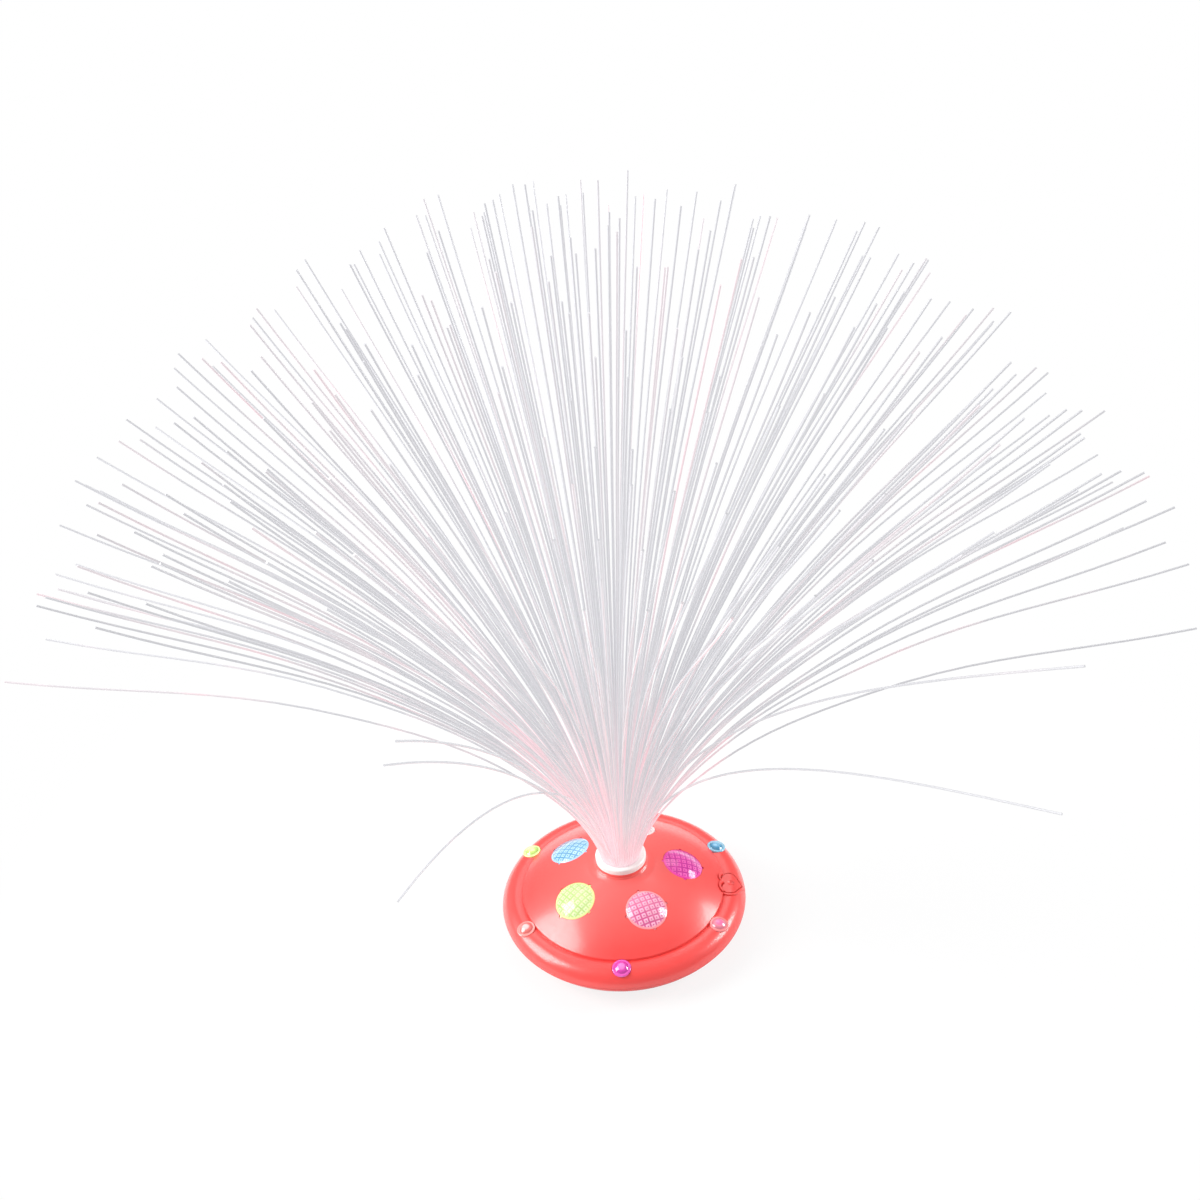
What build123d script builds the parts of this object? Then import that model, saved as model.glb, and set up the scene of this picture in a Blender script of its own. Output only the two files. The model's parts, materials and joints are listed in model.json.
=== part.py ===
from build123d import *
import math
import os

# Fibre optic lamp: a round two-part housing with coloured windows in its dome, a sheaf of plastic
# light fibres that fans out of a white collar, three AAA cells under a hinged door, and a
# heart-shaped push switch on the brim.  Millimetres, +Z up.  The origin is the centre of the foot
# on the table.  Azimuths are in degrees from +X towards +Y; the front of the lamp faces -Y.

# ---- housing ----
rim_radius = 45.0            # widest point of the brim
rim_height = 9.4             # height of that point
wall = 1.8                   # moulded wall
brim_span = 8.0              # from the dome's edge out to the rim
brim_width = 6.4             # from the brim's crown out to the rim
brim_swell = 0.1             # the brim's crown is this much above its inner edge
dome_edge_height = 15.4      # height of the dome's edge at the crease
dome_rise = 12.3             # from the dome's edge to its apex
crease_step = 0.9            # small step down from the dome to the brim
crease_width = 0.2           # width of that step
seam_drop = 0.4              # the parting plane is this much below the widest point
seam_gap = 0.3               # open groove along the parting line
seam_depth = 0.9             # depth of that groove
lip_inset = 0.2              # the lower housing's lip stands this much inside the rim
lip_land = 0.5               # upright part of the lip
bowl_swell = 0.7             # the lower housing bulges this much between foot and lip
foot_inset = 8.6             # from the rim in to the foot ring
foot_width = 2.4
foot_height = 0.6            # the middle of the underside is this much off the table
floor_thickness = 1.6
tongue_inset = 2.0           # locating tongue inside the seam
tongue_thickness = 1.0
tongue_height = 1.6
fit_gap = 0.3                # loose clearance between parts that move or drop in
slip_gap = 0.05              # close clearance of parts that locate each other
thread_gap = 0.02            # clearance of a thread in its pilot hole
root = 0.2                   # depth by which ribs and posts are sunk in the wall they stand on

# ---- fibres ----
fibre_side = 0.60            # square section that stands in the place of a 0.75 mm round fibre
fibre_rings = 9              # rings of 6, 12, 18 ... fibres round the middle one
fibre_first_ring = 0.88
fibre_ring_pitch = 0.765
fibre_length = 246.0         # free length above the collar
fibre_trim = 0.05            # the shortest fibre is shorter by this share
outer_shortfall = 0.07       # so are the fibres that lean out furthest
exit_lean = 18.5             # lean of an outermost fibre where it leaves the collar, degrees
sag_lean = 61.5              # how much more it leans at the tip
sag_easing = 2.6             # the greater, the nearer to the collar the sag takes place
sag_falloff = 0.34           # the greater, the less the inner fibres sag
lean_scatter = 0.66          # unevenness of the leans, in ring pitches
heading_scatter = 0.9        # unevenness of the headings, in shares of the spacing in the ring
front_gather = 0.45          # fibres in front and behind stand this much more upright
front_breadth = 0.5          # the greater, the narrower the gathered part in front
rear_breadth = 1.84
tuft_count = 6               # fibres crowd into tufts round the sheaf
tuft_azimuth = 39.6          # heading of one tuft
tuft_swing = 4.7             # by turning this many degrees towards it
spread_azimuth = 7.5         # fibres also crowd to both sides of the lamp
spread_swing = 10.0          # by turning this many degrees
scatter_ratios = (0.618034, 0.754878, 0.569840)   # for leans, headings and lengths
fibre_steps = 12             # steps in which a fibre's bend is worked out
fibre_bends = 3              # corners of its line above the collar
bend_crowding = 1.8          # the greater, the nearer those corners are to the collar
plug_thickness = 2.4         # resin plug that the fibres are set in

# ---- neck and collar ----
collar_slack = 0.1           # between the outermost fibres and the collar
collar_wall = 0.9
collar_lip = 0.9             # the lip's overhang beyond the tube
collar_proud = 2.2           # lip height above the neck
collar_round = 0.6           # rounding of the lip
neck_proud = 1.7             # neck height above the dome's apex
neck_margin = 0.2            # the neck is this much wider than the collar's lip
neck_step = 0.25             # two steps widen the neck by this much each
neck_ring_height = 1.1       # height of the upper step
neck_flare = 3.2             # the neck's foot runs out into the dome over this width
flare_height = 0.6           # and starts this high above the dome
flare_hollow = 0.4           # its curve is hollowed towards the neck: share of its width
flare_sink = 0.25            # and share of its height

# ---- windows ----
window_count = 5
window_azimuth = -69.7       # first window; the others follow at equal angles
window_inset = 14.4          # from the dome's edge in to the windows' centres
window_radius = 7.5
window_crown = 0.9           # the crown stands this much above the dome
window_edge = -0.45          # height of the crown's edge
window_flange = 0.8          # flange radius beyond the window
flange_depth = 1.8           # depth of the flange below the dome's surface
flange_thickness = 0.8
prism_margin = 0.3           # plain ring round the pyramids
prism_pitch = 2.06           # spacing of the pyramids on the inner face
prism_depth = 1.1
prism_groove = 1.1           # width of the V-grooves between them
tab_width = 1.0              # locating tabs round the window
tab_reach = 0.6
tab_top = -0.35              # height of the tabs in the window's plane
tab_thickness = 1.15
window_drop_in = 1.5         # room under the flange for the window to drop in from inside

bead_count = 6
bead_azimuth = -93.8         # first small lens
bead_inset = 4.8             # from the rim in to the small lenses' centres
bead_radius = 3.4
bead_stem_radius = 2.5
bead_bore_radius = 1.5       # light well in the stem
bead_roof = 0.2              # height of the light well's end
bead_crown = 1.5
bead_rim = 0.8               # flat rim round the crown
bead_rim_top = 0.4
bead_seat_depth = 0.4        # spot face below the brim's surface
bead_stem_length = 2.8

# ---- heart button and its switch ----
button_azimuth = -3.8
button_inset = 5.0           # from the rim in to the button
heart_lobe_radius = 2.7
heart_lobe_offset = 2.2
heart_lobe_setback = 0.9
heart_point = 3.6
button_proud = 0.6
button_depth = 3.2           # the button reaches this far below the brim's inner edge
button_travel = 0.6
press_gap = 0.1              # left under the button when it's fully pressed
bezel_width = 0.8
bezel_proud = 0.45
bezel_root = 0.4
button_groove = 0.3          # clearance round the button
dimple_radius = 2.0
dimple_depth = 0.45
ear_reach = 1.0              # retaining ears under the brim
ear_width = 2.0
ear_setback = 0.6
ear_thickness = 0.7
switch_setback = 1.2         # distance of the switch from the button's middle
switch_length = 2.8
switch_width = 6.0
switch_height = 2.0
switch_floor = 0.3
switch_board_setback = 3.3
switch_board_length = 7.0
switch_board_width = 9.0
switch_board_thickness = 1.0
switch_rib_setback = 3.6     # two ribs carry the switch's board
switch_rib_length = 4.5
switch_rib_width = 1.6
switch_rib_offset = 3.0
plunger_radius = 0.9
lead_setback = 5.6           # where the lead leaves the switch's board
lead_thickness = 0.8
lead_width = 2.4
lead_rise = 3.0
lead_drop = 2.6              # the lead runs this far under the main board
lead_inset = 2.0             # where it meets the main board, from the edge
lead_bend = 1.0

# ---- cells, contacts and door ----
cell_radius = 5.25
cell_length = 44.5
cell_edge = 0.5
cell_nub_length = 1.0
cell_nub_radius = 1.9
cell_gap = 0.4               # between neighbouring cells
bay_side_gap = 0.45          # between the outer cells and the bay
spring_space = 2.7           # left at a cell's flat end for the sprung leaf
bay_wall = 1.2
bay_floor_gap = 0.3          # between the cells and the door
contact_thickness = 0.4
contact_width = 6.0
contact_clearance = 1.3      # between the floor and the contacts
contact_headroom = 0.6
contact_tab_width = 2.4      # solder tabs through the bay's roof and the board
contact_tab_x = 9.2
solder_height = 0.5
leaf_width = 4.4
leaf_play = 0.25             # between the leaf and the cell
leaf_foot = 1.2              # height of the leaf's fixed end above the contact's edge
leaf_dip = 0.4               # the leaf touches this much below the cell's axis
leaf_tail = 0.8              # the leaf's free end stands this far off the contact
leaf_tail_drop = 0.6
door_thickness = 1.4
door_slack = 0.4             # the door opening is this much longer than the bay at each end
hinge_pin_radius = 0.45      # pins at the door's front corners
hinge_pin_reach = 0.8
finger_width = 1.6           # snap fingers at the door's rear
finger_thickness = 0.7
finger_height = 3.0
finger_inset = 1.1
grip_ribs = 4                # finger grip outside
grip_width = 12.0
grip_rib = 0.8
grip_pitch = 2.0
grip_proud = 0.3
grip_inset = 4.0

# ---- electronics and screws ----
board_thickness = 1.2
board_margin = 2.8           # the main board reaches this far beyond the bay's ends
board_post_height = 0.9
board_post_radius = 2.0
board_screw_position = 15.5
board_screw_azimuths = (-45.0, 45.0, 180.0)
board_screw_radius = 0.8
board_screw_length = 2.4
board_screw_head = 0.9
board_screw_head_radius = 1.6
case_screw_azimuths = (38.3, 182.3, 254.3)   # between windows and clear of the small lenses
case_screw_radius = 1.2
case_screw_length = 8.5
case_screw_head = 1.8
case_screw_head_radius = 2.3
case_screw_seat = 6.0        # height of the screw heads' seat
case_screw_slack = 0.2
upper_boss_radius = 2.8
lower_boss_radius = 3.4
boss_rise = 2.0              # the bosses meet this far above the seam
boss_gap = 1.4               # between the main board and the bosses
drive_width = 0.5            # cross recess in the screws' heads
drive_depth = 0.6
drive_span = 1.4             # length of the recess in head radii
main_led_radius = 2.5
main_led_length = 6.0
led_flange = 0.4
led_flange_height = 1.0
lamp_gap = 0.2               # between the main lamp and the plug
window_led_radius = 1.5
window_led_length = 4.2
chip_radius = 3.2
chip_height = 1.1
chip_slope = 0.6
chip_shoulder = 0.7
chip_x = -4.0
chip_inset = 7.8             # from the main board's edge

# ---- radii, lengths and heights that follow from the sizes above ----
crease_radius = rim_radius - brim_span
brim_crown = rim_radius - brim_width
foot_radius = rim_radius - foot_inset
tongue_radius = rim_radius - tongue_inset
window_position = crease_radius - window_inset
bead_position = rim_radius - bead_inset
button_position = rim_radius - button_inset
bundle_radius = fibre_first_ring + fibre_ring_pitch * (fibre_rings - 1)
collar_bore = bundle_radius + fibre_side / 2 + collar_slack
collar_tube_radius = collar_bore + collar_wall
collar_lip_radius = collar_tube_radius + collar_lip
neck_radius = collar_lip_radius + neck_margin
window_led_position = (collar_tube_radius + window_position) / 2
neck_foot_radius = neck_radius + 2 * neck_step
flare_radius = neck_foot_radius + neck_flare
cell_pitch = 2 * cell_radius + cell_gap
bay_width = 2 * (cell_pitch + cell_radius + bay_side_gap)
bay_length = cell_length + 2 * contact_thickness + spring_space
leaf_reach = bay_length - cell_length - contact_thickness - slip_gap - leaf_play
board_radius = bay_length / 2 + board_margin
case_screw_position = board_radius + boss_gap + upper_boss_radius
dome_radius = (crease_radius ** 2 + dome_rise ** 2) / (2 * dome_rise)
dome_centre = dome_edge_height + dome_rise - dome_radius
seam_height = rim_height - seam_drop
lip_top = seam_height - seam_gap
brim_edge_height = dome_edge_height - crease_step
neck_top = dome_edge_height + dome_rise + neck_proud
collar_top = neck_top + collar_proud
door_bottom = foot_height
floor_top = foot_height + floor_thickness
door_top = door_bottom + door_thickness
door_front = -(bay_length / 2 + door_slack - fit_gap)
hinge_y = door_front + door_thickness / 2
hinge_z = door_bottom + door_thickness / 2
cell_axis_height = door_top + bay_floor_gap + cell_radius
roof_bottom = cell_axis_height + cell_radius + fit_gap
roof_top = roof_bottom + bay_wall
board_bottom = roof_top + board_post_height
board_top = board_bottom + board_thickness
boss_meeting_height = seam_height + boss_rise
case_screw_tip = case_screw_seat + case_screw_length
plug_bottom = board_top + main_led_length + lamp_gap
plug_top = plug_bottom + plug_thickness
button_bottom = brim_edge_height - button_depth
button_floor = button_bottom - button_travel - press_gap
switch_top = button_floor
switch_board_top = switch_top - switch_height
switch_board_bottom = switch_board_top - switch_board_thickness

window_names = ("front", "right", "rear", "rear_left", "front_left")
bead_names = ("front", "front_right", "rear_right", "rear", "rear_left", "front_left")
fibre_tiers = {
    "fibres_core": range(0, 5),
    "fibres_inner": range(5, 7),
    "fibres_middle": range(7, 9),
    "fibres_outer": range(9, fibre_rings + 1),
}


# ---- helpers ----
def rz(radius, height):
    """A point of a turned profile."""
    return (radius, 0, height)


def on_dome(radius, depth=0.0):
    """Height of the dome's sphere, or of one that lies deeper, at a distance from the axis."""
    return dome_centre + math.sqrt((dome_radius - depth) ** 2 - radius ** 2)


def on_brim(radius, proud=0.0):
    """Height of the brim's rounded top at a distance from the axis."""
    rise = brim_edge_height + brim_swell - rim_height + proud
    share = (radius - brim_crown) / (brim_width + proud)
    return rim_height + rise * math.sqrt(max(0.0, 1 - share ** 2))


def turned(*edges):
    """A solid of revolution about the lamp's axis from the edges of its profile."""
    return revolve(make_face(Curve() + list(edges)), Axis.Z)


def turned_points(*points):
    return revolve(make_face(Polyline(*points, close=True)), Axis.Z)


def post(radius, bottom, top, x=0.0, y=0.0):
    """An upright round bar."""
    return Pos(x, y, bottom) * extrude(Circle(radius), top - bottom)


def block(x_size, y_size, bottom, top, x=0.0, y=0.0):
    """An upright rectangular bar."""
    return Pos(x, y, bottom) * extrude(Rectangle(x_size, y_size), top - bottom)


def polar(distance, azimuth):
    angle = math.radians(azimuth)
    return (distance * math.cos(angle), distance * math.sin(angle))


def crown_arc(radius, top, edge):
    """The profile of a spherical crown, from its top on the axis down to its edge."""
    rise = top - edge
    sphere = (radius ** 2 + rise ** 2) / (2 * rise)
    middle = math.asin(radius / sphere) / 2
    return ThreePointArc(
        rz(0, top),
        rz(sphere * math.sin(middle), top - sphere * (1 - math.cos(middle))),
        rz(radius, edge),
    )


def surface_plane(distance, azimuth, height, slope):
    """A plane on the housing: its X runs down the slope away from the axis, its Z outwards."""
    turn, tilt = math.radians(azimuth), math.radians(slope)
    away = (math.cos(turn), math.sin(turn))
    down = (math.cos(tilt) * away[0], math.cos(tilt) * away[1], -math.sin(tilt))
    normal = (math.sin(tilt) * away[0], math.sin(tilt) * away[1], math.cos(tilt))
    return Plane(origin=(distance * away[0], distance * away[1], height), x_dir=down, z_dir=normal)


def window_plane(index):
    slope = math.degrees(math.asin(window_position / dome_radius))
    azimuth = window_azimuth + index * 360 / window_count
    return surface_plane(window_position, azimuth, on_dome(window_position), slope)


def bead_plane(index):
    share = (bead_position - brim_crown) / brim_width
    rise = brim_edge_height + brim_swell - rim_height
    slope = math.degrees(math.atan(rise / brim_width * share / math.sqrt(1 - share ** 2)))
    azimuth = bead_azimuth + index * 360 / bead_count
    return surface_plane(bead_position, azimuth, on_brim(bead_position), slope)


def heart(margin=0.0):
    """The button's outline, point outwards along +X, grown by a margin."""
    lobes = []
    for side in (1, -1):
        centre = Vector(-heart_lobe_setback, side * heart_lobe_offset)
        reach = Vector(heart_point, 0) - centre
        spread = math.degrees(math.acos(heart_lobe_radius / reach.length))
        lean = math.degrees(math.atan2(reach.Y, reach.X))
        touches = [centre + Vector(*polar(heart_lobe_radius, lean + turn)) for turn in (spread, -spread)]
        wedge = make_face(Polyline(centre, touches[0], (heart_point, 0), touches[1], close=True))
        lobes.append(Pos(centre.X, centre.Y) * Circle(heart_lobe_radius) + wedge)
    outline = lobes[0] + lobes[1]
    return offset(outline, margin) if margin else outline


def button_place(height=0.0):
    x, y = polar(button_position, button_azimuth)
    return Pos(x, y, height) * Rot(0, 0, button_azimuth)


# ---- housings ----
def outer_skin(proud=0.0):
    """The edges of the housing's top surface from the neck's foot to the seam."""
    dome_middle = (flare_radius + crease_radius) / 2
    brim_inside = crease_radius + crease_width
    brim_middle = brim_crown + brim_width * math.sqrt(0.5)
    return [
        ThreePointArc(
            rz(flare_radius, on_dome(flare_radius, -proud)),
            rz(dome_middle, on_dome(dome_middle, -proud)),
            rz(crease_radius, on_dome(crease_radius, -proud)),
        ),
        Line(
            rz(crease_radius, on_dome(crease_radius, -proud)),
            rz(brim_inside, on_brim(brim_inside, proud)),
        ),
        ThreePointArc(
            rz(brim_inside, on_brim(brim_inside, proud)),
            rz(brim_middle, on_brim(brim_middle, proud)),
            rz(rim_radius + proud, rim_height),
        ),
    ]


def upper_blank():
    """The dome, brim and neck before any holes."""
    first_step = neck_top - neck_ring_height
    flare_start = rz(neck_foot_radius, on_dome(neck_foot_radius) + flare_height)
    flare_end = rz(flare_radius, on_dome(flare_radius))
    flare_middle = rz(
        neck_foot_radius + flare_hollow * neck_flare,
        on_dome(neck_foot_radius + flare_hollow * neck_flare) + flare_sink * flare_height,
    )
    bore = collar_tube_radius + slip_gap
    tongue_slot = tongue_radius + slip_gap
    inner_brim = [brim_crown + share * (brim_width - wall) for share in (0.9, 0.65, 0.0)]
    inner_dome = [bore + share * (crease_radius - wall - bore) for share in (1.0, 0.65, 0.25, 0.0)]
    return turned(
        Polyline(
            rz(bore, neck_top),
            rz(neck_radius, neck_top),
            rz(neck_radius, first_step),
            rz(neck_radius + neck_step, first_step - neck_step),
            rz(neck_radius + neck_step, flare_start[2] + neck_step),
            flare_start,
        ),
        ThreePointArc(flare_start, flare_middle, flare_end),
        *outer_skin(),
        Polyline(
            rz(rim_radius, rim_height),
            rz(rim_radius, seam_height),
            rz(tongue_slot, seam_height),
            rz(tongue_slot, seam_height + tongue_height + slip_gap),
            *(rz(radius, on_brim(radius, -wall)) for radius in inner_brim),
            *(rz(radius, on_dome(radius, wall)) for radius in inner_dome),
            rz(bore, neck_top),
        ),
    )


def window_tool():
    """Everything a window fills in the dome, with clearance: the pane, its flange and its tabs."""
    rim = window_radius + slip_gap
    tool = post(rim, -flange_depth, 2 * window_crown)
    tool += post(rim + window_flange, -flange_depth - window_drop_in, -flange_depth + slip_gap)
    reach = rim + tab_reach
    for turn in (0, 90, 180, 270):
        arm = block(reach, tab_width + 2 * slip_gap, -flange_depth, flange_depth, x=reach / 2)
        tool += Rot(0, 0, turn) * arm
    return tool


def button_bezel():
    """The raised outline round the heart, standing on the brim and the dome's edge."""
    ring = extrude(heart(button_groove + bezel_width) - heart(button_groove), collar_top)
    brim_radii = [crease_radius + share * brim_span for share in (0.9, 0.75, 0.5, 0.2)]
    skin = turned(
        *outer_skin(bezel_proud),
        Polyline(
            rz(rim_radius + bezel_proud, rim_height),
            rz(rim_radius - bezel_root, rim_height),
            *(rz(radius, on_brim(radius, -bezel_root)) for radius in brim_radii),
            rz(crease_radius, on_brim(crease_radius + crease_width, -bezel_root)),
            rz(flare_radius, on_dome(flare_radius, bezel_root)),
            rz(flare_radius, on_dome(flare_radius, -bezel_proud)),
        ),
    )
    return (button_place() * ring) & skin


def make_upper_shell():
    shell = upper_blank() + button_bezel()
    boss_top = on_dome(case_screw_position + upper_boss_radius, wall / 2)
    for x, y in (polar(case_screw_position, a) for a in case_screw_azimuths):
        shell += post(upper_boss_radius, boss_meeting_height, boss_top, x, y)
        shell -= post(case_screw_radius + thread_gap, boss_meeting_height, case_screw_tip + fit_gap, x, y)
    for index in range(window_count):
        shell -= window_plane(index) * window_tool()
    for index in range(bead_count):
        plane = bead_plane(index)
        shell -= plane * post(bead_radius + 2 * slip_gap, -bead_seat_depth, 2 * bead_crown)
        shell -= plane * post(bead_stem_radius + slip_gap, -2 * bead_stem_length, 0.0)
    shell -= button_place(button_floor) * extrude(heart(button_groove), neck_top)
    return shell


def make_lower_shell():
    lip = rim_radius - lip_inset
    inner_lip = lip - seam_depth
    swell = bowl_swell * math.sqrt(0.5)
    belly = rz((foot_radius + lip) / 2 + swell, (lip_top - lip_land) / 2 - swell)
    inner = wall * math.sqrt(0.5)
    tongue_inside = tongue_radius - tongue_thickness
    bowl = turned(
        Polyline(
            rz(0, foot_height),
            rz(foot_radius - foot_width, foot_height),
            rz(foot_radius - foot_width, 0),
            rz(foot_radius, 0),
        ),
        ThreePointArc(rz(foot_radius, 0), belly, rz(lip, lip_top - lip_land)),
        Polyline(
            rz(lip, lip_top - lip_land),
            rz(lip, lip_top),
            rz(inner_lip, lip_top),
            rz(inner_lip, seam_height),
            rz(tongue_radius, seam_height),
            rz(tongue_radius, seam_height + tongue_height),
            rz(tongue_inside, seam_height + tongue_height),
            rz(tongue_inside, seam_height - tongue_thickness),
            rz(belly[0] - inner, belly[2] + inner),
            rz(foot_radius - root, floor_top),
            rz(0, floor_top),
            rz(0, foot_height),
        ),
    )
    outer = (bay_width + 2 * bay_wall, bay_length + 2 * bay_wall)
    bowl += block(*outer, floor_top - root, roof_top)
    bowl -= block(bay_width, bay_length, floor_top - root, roof_bottom)
    bowl -= block(bay_width + 2 * fit_gap, bay_length + 2 * door_slack, 0, floor_top)
    socket_length = bay_width + 2 * (fit_gap + hinge_pin_reach + slip_gap)
    bowl -= cross_bar(hinge_pin_radius + slip_gap, socket_length)
    for x, y in (polar(case_screw_position, a) for a in case_screw_azimuths):
        bowl += post(lower_boss_radius, floor_top - root, boss_meeting_height, x, y)
        bowl -= post(case_screw_head_radius + fit_gap, 0, case_screw_seat, x, y)
        bowl -= post(case_screw_radius + case_screw_slack, case_screw_seat, boss_meeting_height, x, y)
    for x, y in (polar(board_screw_position, a) for a in board_screw_azimuths):
        bowl += post(board_post_radius, roof_top - root, board_bottom, x, y)
        bowl -= post(board_screw_radius + thread_gap, roof_bottom + root, board_bottom, x, y)
    for side in (1, -1):
        rib = block(switch_rib_length, switch_rib_width, floor_top - root, switch_board_bottom)
        bowl += button_place() * Pos(-switch_rib_setback, switch_rib_offset * side, 0) * rib
        bowl -= contact_slot(side, roof_bottom - bay_wall, roof_top + bay_wall)
    return bowl


def cross_bar(radius, length):
    """A round bar along the door's hinge axis."""
    return Pos(0, hinge_y, hinge_z) * Rot(0, 90, 0) * extrude(Circle(radius), length / 2, both=True)


def contact_slot(side, bottom, top):
    """The slot through which a contact's solder tab passes."""
    slot = block(contact_tab_width + fit_gap, contact_thickness + fit_gap, bottom, top)
    return Pos(-side * contact_tab_x, side * (bay_length - contact_thickness) / 2, 0) * slot


# ---- windows ----
def make_window():
    """A window in its own plane: crowned pane, flange, tabs, and the pyramid-cut inner face."""
    edge = window_radius
    base = -flange_depth - flange_thickness
    floor = base - prism_depth
    pane = turned(
        crown_arc(edge, window_crown, window_edge),
        Polyline(
            rz(edge, window_edge),
            rz(edge, -flange_depth),
            rz(edge + window_flange, -flange_depth),
            rz(edge + window_flange, base),
            rz(edge - prism_margin, base),
            rz(edge - prism_margin, floor),
            rz(0, floor),
            rz(0, window_crown),
        ),
    )
    section = Polyline((-prism_groove / 2, floor), (0, base), (prism_groove / 2, floor), close=True)
    groove = extrude(Plane.XZ * make_face(section), 2 * edge, both=True)
    lines = int(edge / prism_pitch) + 1
    for line in range(-lines, lines):
        pane -= Pos((line + 0.5) * prism_pitch, 0, 0) * groove
        pane -= Pos(0, (line + 0.5) * prism_pitch, 0) * Rot(0, 0, 90) * groove
    for turn in (0, 90, 180, 270):
        tab = block(2 * tab_reach, tab_width, tab_top - tab_thickness, tab_top, x=edge)
        pane += Rot(0, 0, turn) * tab
    return pane


def make_bead():
    """A small lens in its own plane: rim, crown, and a hollow stem through the brim."""
    inner = bead_radius - bead_rim
    return turned(
        crown_arc(inner, bead_crown, bead_rim_top),
        Polyline(
            rz(inner, bead_rim_top),
            rz(bead_radius, bead_rim_top),
            rz(bead_radius, -bead_seat_depth),
            rz(bead_stem_radius, -bead_seat_depth),
            rz(bead_stem_radius, -bead_stem_length),
            rz(bead_bore_radius, -bead_stem_length),
            rz(bead_bore_radius, bead_roof),
            rz(0, bead_roof),
            rz(0, bead_crown),
        ),
    )


# ---- collar and fibres ----
def make_collar():
    corner = collar_round * (1 - math.sqrt(0.5))
    return turned(
        Polyline(
            rz(collar_bore, board_top),
            rz(collar_tube_radius, board_top),
            rz(collar_tube_radius, neck_top),
            rz(collar_lip_radius, neck_top),
            rz(collar_lip_radius, collar_top - collar_round),
        ),
        ThreePointArc(
            rz(collar_lip_radius, collar_top - collar_round),
            rz(collar_lip_radius - corner, collar_top - corner),
            rz(collar_lip_radius - collar_round, collar_top),
        ),
        Polyline(
            rz(collar_lip_radius - collar_round, collar_top),
            rz(collar_bore, collar_top),
            rz(collar_bore, board_top),
        ),
    )


def make_plug():
    return post(collar_bore - slip_gap, plug_bottom, plug_top)


def scatter(number, ratio):
    """An even scatter between -0.5 and 0.5: neighbours never get nearly the same value."""
    return (number * ratio) % 1 - 0.5


def ring_radius(ring):
    return fibre_first_ring + fibre_ring_pitch * (ring - 1) if ring else 0.0


def lean_share(ring, azimuth, number):
    """How far a fibre leans: 1 for an outermost one at the side, less further in, in front and behind."""
    stray = lean_scatter * fibre_ring_pitch * scatter(number, scatter_ratios[0])
    share = (ring_radius(ring) + stray) / bundle_radius
    forward = math.sin(math.radians(azimuth))
    breadth = front_breadth if forward < 0 else rear_breadth
    return share * (1 - front_gather * abs(forward) ** breadth)


def fibre_line(share, length):
    """Corners of a fibre in its own plane: upright to the collar's top, then a bend that eases off."""
    ends = [round(fibre_steps * (bend / fibre_bends) ** bend_crowding) for bend in range(1, fibre_bends + 1)]
    across, up = 0.0, collar_top
    corners = [(across, plug_top), (across, up)]
    for step in range(fibre_steps):
        left = 1 - (step + 0.5) / fibre_steps
        sag = sag_lean * abs(share) ** sag_falloff * (1 - left ** sag_easing)
        lean = math.radians(share * (exit_lean + sag))
        across += length / fibre_steps * math.sin(lean)
        up += length / fibre_steps * math.cos(lean)
        if step + 1 in ends:
            corners.append((across, up))
    return corners


def strip(corners, width):
    """A strip of even width along a line in the XZ plane, square at its ends and mitred at its corners."""
    steps = zip(corners, corners[1:])
    leans = [math.atan2(end[0] - start[0], end[1] - start[1]) for start, end in steps]
    left, right = [], []
    for i, (across, up) in enumerate(corners):
        before, after = leans[max(i - 1, 0)], leans[min(i, len(leans) - 1)]
        lean, reach = (before + after) / 2, width / 2 / math.cos((after - before) / 2)
        left.append((across - reach * math.cos(lean), up + reach * math.sin(lean)))
        right.append((across + reach * math.cos(lean), up - reach * math.sin(lean)))
    return Plane.XZ * make_face(Polyline(*left, *reversed(right), close=True))


def fibre(ring, place, number):
    """One fibre of the sheaf, bent in the upright plane of its own heading."""
    spacing = 60 / max(ring, 1)
    azimuth = spacing * (place + ring % 2 / 2) - 90
    share = lean_share(ring, azimuth, number)
    trim = fibre_trim * (0.5 + scatter(number, scatter_ratios[2])) + outer_shortfall * share ** 2
    length = fibre_length * (1 - trim)
    heading = azimuth + heading_scatter * spacing * scatter(number, scatter_ratios[1]) * min(ring, 1)
    heading -= tuft_swing * math.sin(math.radians(tuft_count * (azimuth - tuft_azimuth)))
    heading -= spread_swing * math.sin(math.radians(2 * (azimuth - spread_azimuth)))
    x, y = polar(ring_radius(ring), azimuth)
    section = strip(fibre_line(share, length), fibre_side)
    return Pos(x, y, 0) * Rot(0, 0, heading) * extrude(section, fibre_side / 2, both=True)


def make_fibres(rings):
    fibres = []
    for ring in rings:
        fibres_inside = 1 + 3 * ring * (ring - 1) if ring else 0
        for place in range(max(6 * ring, 1)):
            fibres.append(fibre(ring, place, fibres_inside + place + 1))
    return Compound(fibres)


# ---- heart button and its switch ----
def button_top_skin():
    """Everything below the button's top, which follows the brim's curve."""
    inside = crease_radius - heart_point
    outside = rim_radius + button_proud
    middle = (brim_crown + outside) / 2
    top = on_brim(brim_crown, button_proud)
    return turned(
        Polyline(
            rz(outside, rim_height),
            rz(outside, 0),
            rz(inside, 0),
            rz(inside, top),
            rz(brim_crown, top),
        ),
        ThreePointArc(
            rz(brim_crown, top),
            rz(middle, on_brim(middle, button_proud)),
            rz(outside, rim_height),
        ),
    )


def make_button():
    body = button_place(button_bottom) * extrude(heart(), collar_top - button_bottom)
    body &= button_top_skin()
    ear_span = 2 * (heart_lobe_offset + heart_lobe_radius + ear_reach)
    ears = block(ear_width, ear_span, button_bottom, button_bottom + ear_thickness, x=-ear_setback)
    dimple_height = on_brim(button_position, button_proud) + dimple_radius - dimple_depth
    return body + button_place() * ears - button_place(dimple_height) * Sphere(dimple_radius)


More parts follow.
